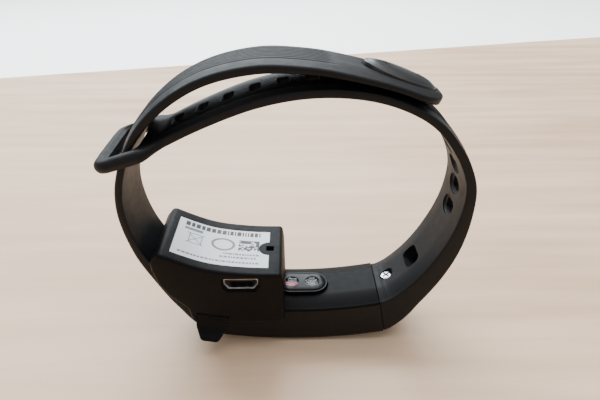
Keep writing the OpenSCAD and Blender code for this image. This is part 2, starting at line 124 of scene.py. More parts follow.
START = END_ANGLE - 1
RING_STATIONS = [
    seam_station(START - 5), seam_station(START),
    [28.8, 13.2, 7.4], [33.8, 20.6, 5.5], [37.2, 29, 4.3], [38.7, 37.6, 3.3], [38.2, 44.8, 2.8],
    [34.4, 52.3, 2.5], [28.1, 58.9, 2.3], [18, 63.3, 2.3], [6, 64.5, 2.3], [-6, 62.7, 2.4],
    [-18, 58.2, 2.4], [-29.2, 52.8, 2.4], [-36, 50.6, 2.4]]
STUD_STATIONS = [
    seam_station(5 - START), seam_station(-START),
    [-25.4, 13, 7.2], [-30.9, 20.1, 4.2], [-34.8, 27.7, 3], [-36.8, 36.6, 2.6], [-36.3, 44.2, 2.5],
    [-33.6, 51.6, 2.4], [-29.5, 57.9, 2.5], [-23, 63.6, 2.6], [-15.5, 67.4, 2.6], [-6.5, 69.3, 2.6],
    [2, 69.2, 2.4], [10, 68.1, 2.2], [21.8, 65.1, 2.1], [31, 61.2, 2.1], [38, 57.6, 2.1]]
TOP_STATIONS = [[-35, 32.4], [-29.6, 29.2], [-20.2, 25], [-11.2, 23.4], [-2.3, 23], [5, 23]]


# --- Curves and outlines --------------------------------------------------------------------------------
def catmull(stations, steps):
    """Catmull-Rom points through all stations but the first and last."""
    p = np.array(stations, float)
    out = []
    for a, b, c, d in zip(p, p[1:], p[2:], p[3:]):
        for k in range(steps):
            t = k / steps
            out.append(0.5 * (2 * b + (c - a) * t + (2 * a - 5 * b + 4 * c - d) * t**2
                              + (3 * b - a - 3 * c + d) * t**3))
    return np.array(out + [p[-2]])


def run(points):
    """Arc length from the first point to each point."""
    return np.concatenate([[0], np.cumsum(np.linalg.norm(np.diff(points[:, :2], axis=0), axis=1))])


def place(points, length):
    """x, z and direction in degrees at an arc length."""
    s = run(points)
    i = min(max(int(np.searchsorted(s, length, side="right")) - 1, 0), len(s) - 2)
    d = points[i + 1, :2] - points[i, :2]
    x, z = points[i, :2] + d * (length - s[i]) / (s[i + 1] - s[i])
    return x, z, math.degrees(math.atan2(d[1], d[0]))


def smoothstep(a, b, x):
    t = np.clip((x - a) / (b - a), 0, 1)
    return t * t * (3 - 2 * t)


def rounded(points, radii, steps=6):
    """A polygon with its corners turned into arcs. A radius of 0 keeps the corner."""
    out = []
    n = len(points)
    for i, (p, r) in enumerate(zip(points, radii)):
        p = Vector(p)
        if r == 0:
            out.append(tuple(p))
            continue
        a = (Vector(points[i - 1]) - p).normalized()
        b = (Vector(points[(i + 1) % n]) - p).normalized()
        half = a.angle(b) / 2
        centre = p + (a + b).normalized() * r / math.sin(half)
        start, end = p + a * r / math.tan(half) - centre, p + b * r / math.tan(half) - centre
        turn = start.angle_signed(end)
        for k in range(steps + 1):
            v = start.copy()
            v.rotate(Matrix.Rotation(-turn * k / steps, 2))
            out.append(tuple(centre + v))
    return out


def inset(loop, amount):
    """A closed outline moved inwards by amount, whichever way it runs."""
    p = np.array(loop, float)
    before, after = p - np.roll(p, 1, 0), np.roll(p, -1, 0) - p
    before /= np.linalg.norm(before, axis=1)[:, None]
    after /= np.linalg.norm(after, axis=1)[:, None]
    normal = np.stack([-(before + after)[:, 1], (before + after)[:, 0]], 1)
    normal /= np.maximum(np.linalg.norm(normal, axis=1)[:, None], 1e-9)
    side = np.stack([-before[:, 1], before[:, 0]], 1)
    mitre = np.maximum((normal * side).sum(1), 0.5)
    q = np.roll(p, -1, 0)
    turn = math.copysign(1, (p[:, 0] * q[:, 1] - q[:, 0] * p[:, 1]).sum())
    return p + turn * amount * normal / mitre[:, None]


def shrunk(loop, amount):
    """A closed outline squeezed towards its middle, so that each side moves in by amount."""
    p = np.array(loop, float)
    low, high = p.min(0), p.max(0)
    return (p - low) * (1 - 2 * amount / (high - low)) + low + amount


def circle(radius, count=48):
    a = np.arange(count) * 2 * math.pi / count
    return np.stack([radius * np.cos(a), radius * np.sin(a)], 1)


def ellipse(length, width, count=96):
    return circle(1, count) * [length / 2, width / 2]


def box_outline(length, width, radius, steps=5):
    x, y = length / 2, width / 2
    return rounded([(-x, -y), (x, -y), (x, y), (-x, y)], [radius] * 4, steps)


def stadium(length, width, steps=16):
    """A slot outline: a straight middle with two half-round ends."""
    r = min(length, width) / 2
    x, y = length / 2 - r, width / 2 - r
    a = np.linspace(0, math.pi, steps)
    if length < width:
        half = [(r * math.cos(v), y + r * math.sin(v)) for v in a]
    else:
        half = [(x + r * math.sin(v), -r * math.cos(v)) for v in a]
    return half + [(-p, -q) for p, q in half]


# --- Places -----------------------------------------------------------------------------------------------
ON_BAND = Matrix.Translation((0, MID_Y, 0))


def plane_at(x, z, angle):
    """A frame on the band's middle: local X runs at that angle in the X-Z plane, and Y across the arm."""
    return Matrix.Translation((x, MID_Y, z)) @ Matrix.Rotation(math.radians(-angle), 4, "Y")


def at_arc(r, angle):
    """A frame on the tracker's arc, with local Z towards the wrist."""
    return plane_at(*arc_point(r, angle), angle)


def up_z(x, y, z):
    return Matrix.Translation((x, MID_Y + y, z))


# Local X and Y become world X and Z, and local Z runs across the band
ACROSS = ON_BAND @ Matrix.Rotation(math.radians(90), 4, "X")


# --- Meshes -------------------------------------------------------------------------------------------------
def mesh_object(name, points, faces, matrix=Matrix.Identity(4)):
    """An object from points in millimetres, placed by matrix, whose faces all look outwards."""
    mesh = bpy.data.meshes.new(name)
    mesh.from_pydata([tuple(matrix @ Vector(p)) for p in points], [], faces)
    obj = bpy.data.objects.new(name, mesh)
    bpy.context.scene.collection.objects.link(obj)
    clean(obj)
    return obj


def clean(obj):
    bm = bmesh.new()
    bm.from_mesh(obj.data)
    bmesh.ops.remove_doubles(bm, verts=bm.verts, dist=SAME)
    bmesh.ops.dissolve_degenerate(bm, edges=bm.edges, dist=SAME)
    bmesh.ops.delete(bm, geom=[v for v in bm.verts if not v.link_faces], context="VERTS")
    bmesh.ops.triangulate(bm, faces=[f for f in bm.faces if len(f.verts) > 4])
    bmesh.ops.recalc_face_normals(bm, faces=bm.faces)
    bm.to_mesh(obj.data)
    bm.free()


def loft(name, rings, matrix=Matrix.Identity(4)):
    """Joins equal closed rings of 3-D points into a closed solid."""
    count = len(rings[0])
    points = [p for ring in rings for p in ring]
    faces = [tuple(range(count)), tuple(range(len(points) - count, len(points)))]
    for i in range(len(rings) - 1):
        for j in range(count):
            k = (j + 1) % count
            faces.append((i * count + j, i * count + k, (i + 1) * count + k, (i + 1) * count + j))
    return mesh_object(name, points, faces, matrix)


def stack(name, outline, levels, matrix=Matrix.Identity(4)):
    """A solid of one outline at several heights. levels holds (height, how far the outline is inset)."""
    rings = []
    for z, amount in levels:
        rings.append([(x, y, z) for x, y in inset(outline, amount)])
    return loft(name, rings, matrix)


def soft(z0, z1, r0, r1, steps=4):
    """Levels of a solid from z0 to z1 whose edges are rounded by r0 and r1. A negative radius flares."""
    levels = []
    for z, r, sign in ((z0, r0, 1), (z1, r1, -1)):
        size = abs(r)
        arc = [(0.5 * math.pi * k / steps) for k in range(steps + 1)]
        if r >= 0:
            part = [(z + sign * size * (1 - math.cos(a)), size * (1 - math.sin(a))) for a in arc]
        else:
            part = [(z + sign * size * math.sin(a), -size * (1 - math.sin(a))) for a in arc]
        levels.append(part if r else [(z, 0)])
    return levels[0] + levels[1][::-1]


def prism(name, outline, y0, y1, radius=0.0, matrix=ACROSS):
    """An X-Z outline extruded across the band from y0 to y1, with rounded long edges."""
    return stack(name, outline, soft(-y1, -y0, radius, radius), matrix)


def combine(target, *others, operation="DIFFERENCE"):
    """Boolean of target with the other solids, which are used up."""
    for other in others:
        modifier = target.modifiers.new("combine", "BOOLEAN")
        modifier.solver = "EXACT"
        modifier.operation = operation
        modifier.object = other
    graph = bpy.context.evaluated_depsgraph_get()
    result = bpy.data.meshes.new_from_object(target.evaluated_get(graph))
    target.modifiers.clear()
    old, target.data = target.data, result
    bpy.data.meshes.remove(old)
    for other in others:
        bpy.data.meshes.remove(other.data)
    clean(target)
    return target


def joined(name, objects):
    """One object that holds several separate solids."""
    bm = bmesh.new()
    for o in objects:
        bm.from_mesh(o.data)
        bpy.data.meshes.remove(o.data)
    mesh = bpy.data.meshes.new(name)
    bm.to_mesh(mesh)
    bm.free()
    obj = bpy.data.objects.new(name, mesh)
    bpy.context.scene.collection.objects.link(obj)
    return obj


# --- Materials ------------------------------------------------------------------------------------------------
class Shader:
    """A procedural material: a principled surface whose colour, roughness and bump come from noise."""

    def __init__(self, name, roughness, **values):
        self.material = bpy.data.materials.new(name)
        self.material.use_nodes = True
        self.nodes = self.material.node_tree.nodes
        self.links = self.material.node_tree.links
        self.surface = self.nodes["Principled BSDF"]
        self.surface.inputs["Roughness"].default_value = roughness
        for key, value in values.items():
            self.surface.inputs[key.replace("_", " ")].default_value = value
        self.place = self.nodes.new("ShaderNodeTexCoord").outputs["Object"]
        self.normal = None

    def node(self, kind, inputs=(), **settings):
        made = self.nodes.new("ShaderNode" + kind)
        for key, value in settings.items():
            setattr(made, key, value)
        for key, value in dict(inputs).items():
            if isinstance(value, bpy.types.NodeSocket):
                self.links.new(value, made.inputs[key])
            else:
                made.inputs[key].default_value = value
        return made

    def noise(self, size, detail=3.0, stretch=(1, 1, 1)):
        """Noise whose grains are about size millimetres, longer along an axis whose stretch is below 1."""
        scaled = self.node("Mapping", {"Vector": self.place, "Scale": [s / (size * MM) for s in stretch]})
        return self.node("TexNoise", {"Vector": scaled.outputs[0], "Scale": 1.0, "Detail": detail}).outputs[0]

    def spread(self, value, low, high):
        return self.node("MapRange", {"Value": value, "From Min": 0.3, "From Max": 0.7,
                                      "To Min": low, "To Max": high}).outputs[0]

    def colour(self, value, dark, light):
        mix = self.node("Mix", {"Factor": value}, data_type="RGBA")
        mix.inputs[6].default_value = (*dark, 1)
        mix.inputs[7].default_value = (*light, 1)
        self.links.new(mix.outputs[2], self.surface.inputs["Base Color"])
        return mix

    def rough(self, value, low, high):
        self.links.new(self.spread(value, low, high), self.surface.inputs["Roughness"])

    def bump(self, value, depth):
        """Adds relief that is depth millimetres high."""
        inputs = {"Height": value, "Distance": depth * MM, "Strength": 1.0}
        if self.normal:
            inputs["Normal"] = self.normal
        self.normal = self.node("Bump", inputs).outputs[0]
        self.links.new(self.normal, self.surface.inputs["Normal"])


def moulded(name, dark, light, roughness, grain, depth, **values):
    """Moulded plastic or rubber: fine grain, slow changes of tone, and small scuffs in the gloss."""
    s = Shader(name, roughness, **values)
    s.colour(s.spread(s.noise(9, 4), 0.1, 0.9), dark, light)
    s.rough(s.noise(1.6, 6), roughness - 0.03, roughness + 0.05)
    s.bump(s.noise(grain, 2), depth)
    return s.material


def metal(name, dark, light, roughness, stretch=(1, 1, 1)):
    s = Shader(name, roughness, Metallic=1.0)
    s.colour(s.spread(s.noise(1.2, 4), 0, 1), dark, light)
    lines = s.noise(0.12, 3, stretch)
    s.rough(lines, roughness - 0.08, roughness + 0.12)
    s.bump(lines, 0.002)
    return s.material


def board(name):
    """Circuit board: green lacquer over slightly raised tracks."""
    s = Shader(name, 0.3, Coat_Weight=0.3)
    cells = s.node("TexBrick", {"Vector": s.place, "Scale": 1 / MM, "Mortar Size": 0.06,
                                "Brick Width": 1.6, "Row Height": 0.5})
    s.colour(cells.outputs["Fac"], (0.012, 0.09, 0.035), (0.03, 0.16, 0.06))
    s.bump(cells.outputs["Fac"], 0.02)
    s.rough(s.noise(2, 3), 0.25, 0.4)
    return s.material


def clear(name, tint):
    s = Shader(name, 0.08, IOR=1.2, Transmission_Weight=1.0)
    s.colour(s.spread(s.noise(3, 2), 0, 1), [c * 0.96 for c in tint], tint)
    s.bump(s.noise(0.8, 2), 0.002)
    return s.material


def glossy(name, dark, light, roughness, **values):
    s = Shader(name, roughness, **values)
    s.colour(s.spread(s.noise(6, 3), 0, 1), dark, light)
    s.rough(s.noise(2.5, 5), roughness, roughness + 0.06)
    s.bump(s.noise(5, 2), 0.004)
    return s.material


def emitters(name):
    """The parts under the lenses: rose on the near half of the left one, pale grey elsewhere."""
    s = Shader(name, 0.35)
    axes = s.node("SeparateXYZ", {"Vector": s.place}).outputs
    left = s.node("Math", {0: axes[0], 1: PILL_X * MM}, operation="LESS_THAN").outputs[0]
    near = s.node("Math", {0: axes[1], 1: (MID_Y + 0.8) * MM}, operation="LESS_THAN").outputs[0]
    both = s.node("Math", {0: left, 1: near}, operation="MULTIPLY").outputs[0]
    s.colour(both, (0.09, 0.09, 0.10), (0.95, 0.13, 0.24))
    s.rough(s.noise(0.5, 3), 0.5, 0.6)
    return s.material


DULL = {"Specular_IOR_Level": 0.2}
MATERIALS = {
    "lens_glass": glossy("lens_glass", (0.002, 0.002, 0.003), (0.004, 0.004, 0.006), 0.05, Coat_Weight=0.6),
    "display": glossy("display", (0.01, 0.01, 0.014), (0.02, 0.02, 0.026), 0.15),
    "housing_black": moulded("housing_black", (0.0035, 0.0035, 0.004), (0.005, 0.005, 0.0055), 0.48, 0.16, 0.006,
                             **DULL),
    # Painted shade: the rear cover's black and its specular are set lower than the housing's, standing in for the
    # shade that the strap loop casts on the cover from above.
    "cover_black": moulded("cover_black", (0.0025, 0.0025, 0.003), (0.004, 0.004, 0.005), 0.46, 0.16, 0.006,
                           Specular_IOR_Level=0.08),
    "gasket": moulded("gasket", (0.02, 0.02, 0.022), (0.03, 0.03, 0.032), 0.7, 0.2, 0.01),
    "battery_foil": metal("battery_foil", (0.5, 0.5, 0.52), (0.65, 0.65, 0.67), 0.32),
    "steel": metal("steel", (0.42, 0.42, 0.44), (0.6, 0.6, 0.62), 0.3),
    "circuit_board": board("circuit_board"),
    "chip": moulded("chip", (0.012, 0.012, 0.012), (0.02, 0.02, 0.02), 0.5, 0.1, 0.004),
    "emitter": emitters("emitter"),
    "window_black": glossy("window_black", (0.003, 0.003, 0.004), (0.006, 0.006, 0.008), 0.16,
                           Specular_IOR_Level=0.12),
    "sensor_lens": clear("sensor_lens", (0.97, 0.95, 0.95)),
    "dark_steel": metal("dark_steel", (0.03, 0.03, 0.033), (0.06, 0.06, 0.065), 0.4),
    "gold": metal("gold", (0.62, 0.4, 0.13), (0.8, 0.56, 0.22), 0.25),
    "screw_steel": metal("screw_steel", (0.55, 0.55, 0.56), (0.75, 0.75, 0.76), 0.26),
    "strap_rubber": moulded("strap_rubber", (0.0045, 0.0049, 0.0060), (0.007, 0.0075, 0.0092), 0.54, 0.13, 0.009,
                            **DULL),
    "button_satin": moulded("button_satin", (0.006, 0.0065, 0.0075), (0.009, 0.0095, 0.011), 0.3, 0.1, 0.002,
                            Specular_IOR_Level=0.5),
    "cradle_black": moulded("cradle_black", (0.0026, 0.0026, 0.0028), (0.004, 0.004, 0.0043), 0.52, 0.2, 0.010,
                            Specular_IOR_Level=0.12),
    "label_white": moulded("label_white", (0.80, 0.83, 0.88), (0.86, 0.88, 0.92), 0.42, 0.25, 0.003),
    "usb_steel": metal("usb_steel", (0.3, 0.3, 0.31), (0.5, 0.5, 0.51), 0.34, (0.2, 1, 1)),
    "ink": moulded("ink", (0.012, 0.012, 0.013), (0.03, 0.03, 0.032), 0.5, 0.2, 0.003),
    "grey_ink": moulded("grey_ink", (0.16, 0.16, 0.18), (0.24, 0.24, 0.26), 0.5, 0.2, 0.003),
}
SLOT_OF = {s["node"]: s["material_slot"] for s in frame["record"]["subparts"]}
BODY_OF = {n: body for body, nodes in frame["record"]["behaviour"]["bodies"].items() for n in nodes}


def finish_surface(obj, material, sharp=32):
    obj.data.materials.clear()
    obj.data.materials.append(MATERIALS[material])
    obj.data.shade_smooth()
    obj.data.set_sharp_from_angle(angle=math.radians(sharp))


def piece(obj, *nodes, body=None, slot=None, material=None, sharp=32):
    """Gives a finished piece its material and, unless body is "blend", its body, and hides the CAD nodes that it
    stands for.
    """
    slot = slot or SLOT_OF[nodes[0]]
    obj.data.transform(Matrix.Scale(MM, 4))
    finish_surface(obj, material or slot, sharp)
    if body != "blend":
        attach(obj, body or BODY_OF[nodes[0]])
    if nodes:
        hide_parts(*nodes)
    return obj


# --- Lofted straps ----------------------------------------------------------------------------------------------
RIB_PITCH = 1.04
RIB_DEPTH = 0.16
RIB_HALF = 5.2
FLAT_HALF = 3.4
TOP_STEPS = 130
UNDER_STEPS = 36
CORNER = np.radians([18, 36, 54, 72, 90])


def crown(y, half):
    """How far a crowned face has fallen at y, from 0 over its flat middle to 1 at its edges."""
    flat = FLAT_HALF * half / STRAP_HALF
    return np.clip((np.abs(y) - flat) / (half - flat), 0, 1) ** 1.4


def section(half, outer, inner, outer_fall, inner_fall, outer_r, inner_r, ribs=0.0):
    """Closed section (y, height) of a strap: faces at heights outer and -inner that fall towards their
    edges, rounded corners, and fine ribs along the middle of the outer face."""
    y = np.linspace(-1, 1, TOP_STEPS) * (half - outer_r)
    window = 1 - smoothstep(RIB_HALF - 0.8, RIB_HALF, np.abs(y))
    top = outer - outer_fall * crown(y, half) + ribs * RIB_DEPTH * window * (np.cos(2 * np.pi * y / RIB_PITCH) - 1) / 2
    turn = CORNER[:-1]
    cy, cz = half - outer_r + outer_r * np.sin(turn), top[-1] - outer_r * (1 - np.cos(turn))
    v = np.linspace(1, -1, UNDER_STEPS) * (half - inner_r)
    under = -inner + inner_fall * crown(v, half)
    by, bz = half - inner_r + inner_r * np.sin(turn), under[0] + inner_r * (1 - np.cos(turn))
    right = [(half, top[-1] - outer_r), (half, under[0] + inner_r)]
    left = [(-half, under[0] + inner_r), (-half, top[-1] - outer_r)]
    return np.array([*zip(y, top), *zip(cy, cz), *right, *zip(by[::-1], bz[::-1]),
                     *zip(v, under), *zip(-by, bz), *left, *zip(-cy[::-1], cz[::-1])])


def ribbon(name, path, outward, shape, matrix=ON_BAND, heading=None):
    """Lofts shape(arc length) along an X-Z path. outward is 1 if the outer side is left of the path. The
    sections turn gradually from square to heading, in degrees, to square to the path."""
    step = path[2:] - path[:-2]
    tangent = np.vstack([path[1] - path[0], step, path[-1] - path[-2]])
    tangent /= np.linalg.norm(tangent, axis=1)[:, None]
    lengths = run(path)
    if heading is not None:
        first = np.array([math.cos(math.radians(heading)), math.sin(math.radians(heading))])
        share = smoothstep(0, 7, lengths)[:, None]
        tangent = first * (1 - share) + tangent * share
        tangent /= np.linalg.norm(tangent, axis=1)[:, None]
    rings = []
    for i, (p, t) in enumerate(zip(path, tangent)):
        loop = shape(lengths[i])
        normal = outward * np.array([-t[1], t[0]])
        rings.append([(p[0] + n * normal[0], y, p[1] + n * normal[1]) for y, n in loop])
    return loft(name, rings, matrix)


def strap_path(stations, side, extra=()):
    """A strap's line from its seam on, leaving it along the tracker's arc. Returns x, z and thickness."""
    seam = side * (END_ANGLE + SEAM_GAP)
    start, after = np.array([*arc_point(SEAM_R, seam), SEAM_T]), np.array(stations[2], float)
    heading = math.radians(seam)
    lead = 2.0 * np.linalg.norm((after - start)[:2])
    before = [after[0] - side * lead * math.cos(heading), after[1] - side * lead * math.sin(heading), SEAM_T]
    line = catmull([before, start, *stations[2:]], 16)
    return np.vstack([line[:1], line[0] + (line[1] - line[0]) * 0.25, line[1:], *extra])


def eased_path(line, reach=2):
    """Moves each inner point a little towards its neighbours, which takes out small kinks."""
    out = line.copy()
    for i in range(reach + 2, len(line) - reach):
        out[i] = line[i - reach : i + reach + 1].mean(0)
    return out


def seam_chamfer(s):
    """How much smaller a strap's section is right at its seam, where a fine groove shows."""
    return 0.12 if s == 0 else 0.0


HOLE_LINE = catmull(RING_STATIONS, 7)
FIRST_HOLE = run(HOLE_LINE)[-1] - 7


def hole_place(k):
    return place(HOLE_LINE, FIRST_HOLE - k * HOLE_PITCH)


def hole_cutter(k):
    """A rounded hole with a softened mouth outside, in an oval dish on the inner side."""
    turned = plane_at(*hole_place(k)) @ Matrix.Rotation(math.radians(90), 4, "Z")
    at = FIRST_HOLE - k * HOLE_PITCH
    skin = np.interp(at, run(HOLE_LINE), HOLE_LINE[:, 2]) / 2
    far = 5.0
    through = stack("hole", box_outline(4.2, 2.6, 0.95),
                    [(-far, -0.3), (-skin, -0.25), (-skin + 0.1, -0.1), (-skin + 0.25, 0), (far, 0)], turned)
    dish = stack("dish", ellipse(6.6, 4.5, 40),
                 [(skin - 0.45, 0.5), (skin - 0.38, 0.25), (skin - 0.1, 0), (skin + 1.5, 0)], turned)
    return [through, dish]


LUG_R = 105.8
LUG_LEN = 6.6
LUG_W = 8
LUG_T = 3.4


def screw_recess(side):
    spot = at_arc(99.6, side * (END_ANGLE + LUG_LEN / 2 * 180 / (math.pi * LUG_R) - 0.02))
    return stack("recess", circle(1.66), [(-1.0, 0), (0.25, 0), (0.5, -0.12), (5, -0.12)], spot)


def lug(side, grow=0.0):
    spot = at_arc(LUG_R, side * (END_ANGLE + LUG_LEN / 2 * 180 / (math.pi * LUG_R) - 0.02))
    return stack("lug", box_outline(LUG_LEN + grow, LUG_W + grow, 0.6),
                 soft(-LUG_T / 2 - grow / 2, LUG_T / 2 + grow / 2, 0.3, 0.3), spot)


def make_ring_strap():
    direction = -np.array([math.cos(math.radians(RING_TILT)), math.sin(math.radians(RING_TILT))])
    corner = 3.6
    nose = RING_T / 2
    ring_s = np.concatenate([np.arange(0.6, RING_LEN - corner, 0.5),
                             RING_LEN - corner * (1 - np.sin(np.radians(np.arange(0, 90, 5)))), [RING_LEN]])
    extra = [[RING_AT[0] + direction[0] * s, RING_AT[1] + direction[1] * s, RING_T] for s in ring_s]
    line = strap_path(RING_STATIONS, 1, [extra])
    path = line[:, :2].copy()
    last = len(line) - len(extra)
    path[2:last + 3] = eased_path(path, 3)[2:last + 3]
    s_line = run(path)
    root = s_line[last] - ring_s[0]

    def shape(s):
        r = s - root
        half = STRAP_HALF + (RING_HALF - STRAP_HALF) * smoothstep(-4.6, 0.9, r)
        over = max(r - (RING_LEN - corner), 0)
        half -= corner - math.sqrt(max(corner**2 - over**2, 0))
        t = np.interp(s, s_line, line[:, 2])
        if r > -6:
            t = 2.4 + (RING_T - 2.4) * smoothstep(-2.2, 1.6, r)
        near = 1 - smoothstep(2, 26, s)
        ringed = float(smoothstep(-5, 0.5, r))
        rise = 0.5 * near + 0.35 * (smoothstep(3, 12, s) - smoothstep(18, 34, s))
        outer, inner = t / 2, t / 2 + rise * (1 - ringed)
        at_seam = 1 - smoothstep(0, 6, s)
        outer_fall = (0.5 + 0.5 * near - 0.7 * at_seam) * (1 - ringed) + 0.25 * ringed
        inner_fall = (0.25 + 1.05 * near + rise * 0.3) * (1 - ringed) + 0.25 * ringed
        room = min(outer, inner) - 0.02
        outer_r = min(0.5 + 0.7 * near + (nose - 0.5) * ringed, room)
        inner_r = min(0.45 + (nose - 0.45) * ringed, room)
        end = max(r - (RING_LEN - nose), 0) / nose
        squeeze = math.sqrt(max(1 - end**2, 0.0004))
        ribs = smoothstep(30, 36, s) * (1 - smoothstep(-5.5, -3, r))
        cut = seam_chamfer(s)
        return section(half - cut, (outer - cut) * squeeze, (inner - cut) * squeeze, outer_fall * squeeze,
                       inner_fall * squeeze, outer_r * squeeze, inner_r * squeeze, ribs)

    strap = ribbon("ring_strap_body", path, -1, shape, heading=END_ANGLE)
    ring = plane_at(*RING_AT, 180 + RING_TILT)
    slot = stack("slot", box_outline(6.8, 2 * STRAP_HALF + 0.7, 1.5, 6),
                 soft(-nose - 0.02, nose + 0.02, -0.8, -0.8, 5), ring @ Matrix.Translation((4.5, 0, 0)))
    pocket = stack("pocket", box_outline(3.4, 5.4, 1.0),
                   [(-1.2, 0.5), (-1.0, 0.15), (-0.7, 0), (0.55, 0), (1.0, -0.12), (1.25, -0.3), (6, -0.5)],
                   plane_at(32.5, 18.6, 60))
    holes = [c for k in range(HOLE_COUNT) for c in hole_cutter(k)]
    combine(strap, *(joined("holes", holes[i::2]) for i in range(2)), slot, pocket, screw_recess(1), lug(1, 0.2))
    return piece(strap, "ring_strap", sharp=38)


def make_stud_strap():
    long = 7.0
    raw = strap_path(STUD_STATIONS, -1)
    total = run(raw)[-1]
    tip = np.sin(np.radians(np.arange(0, 90.1, 4)))
    lengths = np.concatenate([run(raw)[run(raw) < total - long - 0.2], total - long + long * tip])
    s_raw = run(raw)
    line = np.stack([np.interp(lengths, s_raw, raw[:, k]) for k in range(3)], 1)
    path = line[:, :2].copy()
    s_line = run(path)

    def shape(s):
        t = np.interp(s, s_line, line[:, 2])
        near = 1 - smoothstep(2, 26, s)
        over = max(s - (s_line[-1] - long), 0)
        half = STRAP_HALF * math.sqrt(max(1 - (over / long) ** 2, 0.0025))
        nose = 0.9
        end = max(s - (s_line[-1] - nose), 0) / nose
        squeeze = math.sqrt(max(1 - end**2, 0.0004))
        rise = 0.5 * near
        at_seam = 1 - smoothstep(0, 6, s)
        outer_fall = (0.85 + 0.2 * near - 0.75 * at_seam) * min(half / STRAP_HALF, 1)
        inner_fall = (0.2 + 1.1 * near) * min(half / STRAP_HALF, 1)
        outer_r = min(0.8 + 0.4 * near, t / 2 - 0.02, half * 0.6)
        inner_r = min(0.45, t / 2 - 0.02, half * 0.6)
        ribs = smoothstep(34, 44, s) * (1 - smoothstep(-26, -22, s - s_line[-1]))
        cut = seam_chamfer(s)
        return section(half - cut, (t / 2 - cut) * squeeze, (t / 2 + rise - cut) * squeeze,
                       outer_fall * squeeze, inner_fall * squeeze, outer_r * squeeze, inner_r * squeeze, ribs)

    strap = ribbon("stud_strap_body", path, 1, shape, heading=180 - END_ANGLE)
    seat = stack("seat", ellipse(16.5, 9.9), [(BUTTON_SEAT - 0.35, 0.1), (BUTTON_SEAT - 0.25, 0), (6, 0)],
                 CLASP @ Matrix.Translation((BUTTON_SHIFT, 0, 0)))
    shank = stack("shank", stadium(3.04, 1.54), [(-1.5, 0), (3, 0)], CLASP @ QUARTER)
    combine(strap, seat, shank, screw_recess(-1), lug(-1, 0.2))
    piece(strap, "stud_strap_base", "stud_strap_tail", body="blend", sharp=38)
    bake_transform(strap)


# --- Clasp ------------------------------------------------------------------------------------------------------
QUARTER = Matrix.Rotation(math.radians(90), 4, "Z")
stud_x, stud_z, stud_angle = hole_place(STUD_HOLE)
CLASP = plane_at(stud_x, stud_z, stud_angle - 180) @ Matrix.Translation((0, 0, CLASP_LIFT))


def dome(base, side, rise, reach, steps=9):
    """Levels of a domed cap: a short upright side, a rounded edge, then a low crown of that reach."""
    levels = [(base, 0.12), (base + 0.08, 0)]
    edge = 0.35
    for k in range(5):
        a = math.radians(90 * k / 4)
        levels.append((base + side - edge * (1 - math.sin(a)), edge * (1 - math.cos(a))))
    top = base + side
    for k in range(1, steps + 1):
        u = k / steps
        levels.append((top + (rise - side) * (1 - (1 - u) ** 2.4), edge + (reach - edge) * u))
    return levels


def make_button():
    button = stack("clasp_button_cap", ellipse(16, 9.4),
                   dome(BUTTON_SEAT - 0.2, 1.0, 1.9, 4.55), CLASP @ Matrix.Translation((BUTTON_SHIFT, 0, 0)))
    return piece(button, "clasp_button")


def make_stud():
    foot = -CLASP_LIFT - 2.2
    head = stack("clasp_stud_pin", stadium(3.5, 1.9),
                 [(foot, 0.55), (foot + 0.08, 0.3), (foot + 0.25, 0.1), (foot + 0.5, 0), (foot + 0.75, 0.02),
                  (foot + 0.95, 0.14), (foot + 1.05, 0.21), (BUTTON_SEAT - 0.1, 0.21)], CLASP @ QUARTER)
    return piece(head, "clasp_stud")


# --- Tracker ----------------------------------------------------------------------------------------------------
def swept(name, outline, a0, a1, chamfer=0.0, steps=72):
    """Turns a section (radius, y) around the tracker's arc, with a fine chamfer at both ends."""
    small = 0.08
    angles = np.linspace(a0, a1, steps)
    if chamfer:
        angles = np.concatenate([[a0], np.linspace(a0 + small, a1 - small, steps), [a1]])
    rings = []
    for i, a in enumerate(angles):
        loop = shrunk(outline, chamfer) if chamfer and i in (0, len(angles) - 1) else outline
        rings.append([(*arc_point(r, a)[:1], y, arc_point(r, a)[1]) for r, y in loop])
    return loft(name, rings, ON_BAND)


def make_cover():
    half, edge = TRACKER_HALF, 0.45
    y = np.linspace(-1, 1, 72) * (half - edge)
    back = BACK_R + 1.3 * crown(y, half)
    turn = np.radians([18, 36, 54, 72, 90])
    foot = SIDE_R - 0.05
    side = [(min(back[-1] + edge * (1 - math.cos(a)), foot - 0.04), half - edge + edge * math.sin(a)) for a in turn]
    inner = half - 2.2
    outline = ([*zip(back, y)] + side + [(foot, half), (foot, inner), (BACK_R + 1, inner), (BACK_R + 1, -inner),
                                         (foot, -inner), (foot, -half)] + [(r, -v) for r, v in side[::-1]])
    cover = swept("rear_cover_shell", outline, -END_ANGLE, END_ANGLE, 0.12)
    well = stack("well", stadium(PILL_LEN + 0.24, PILL_W + 0.24), [(5, 0), (11.45, 0), (11.6, -0.12), (20, -0.12)],
                 up_z(PILL_X, 0, 0))
    wells = [stack("well", circle(1.15), [(5, 0), (12.1, 0), (12.8, -0.4), (20, -0.4)],
                   up_z(CONTACT_X, s * CONTACT_PITCH / 2, 0)) for s in (-1, 1)]
    combine(cover, well, *wells)
    return piece(cover, "rear_cover")


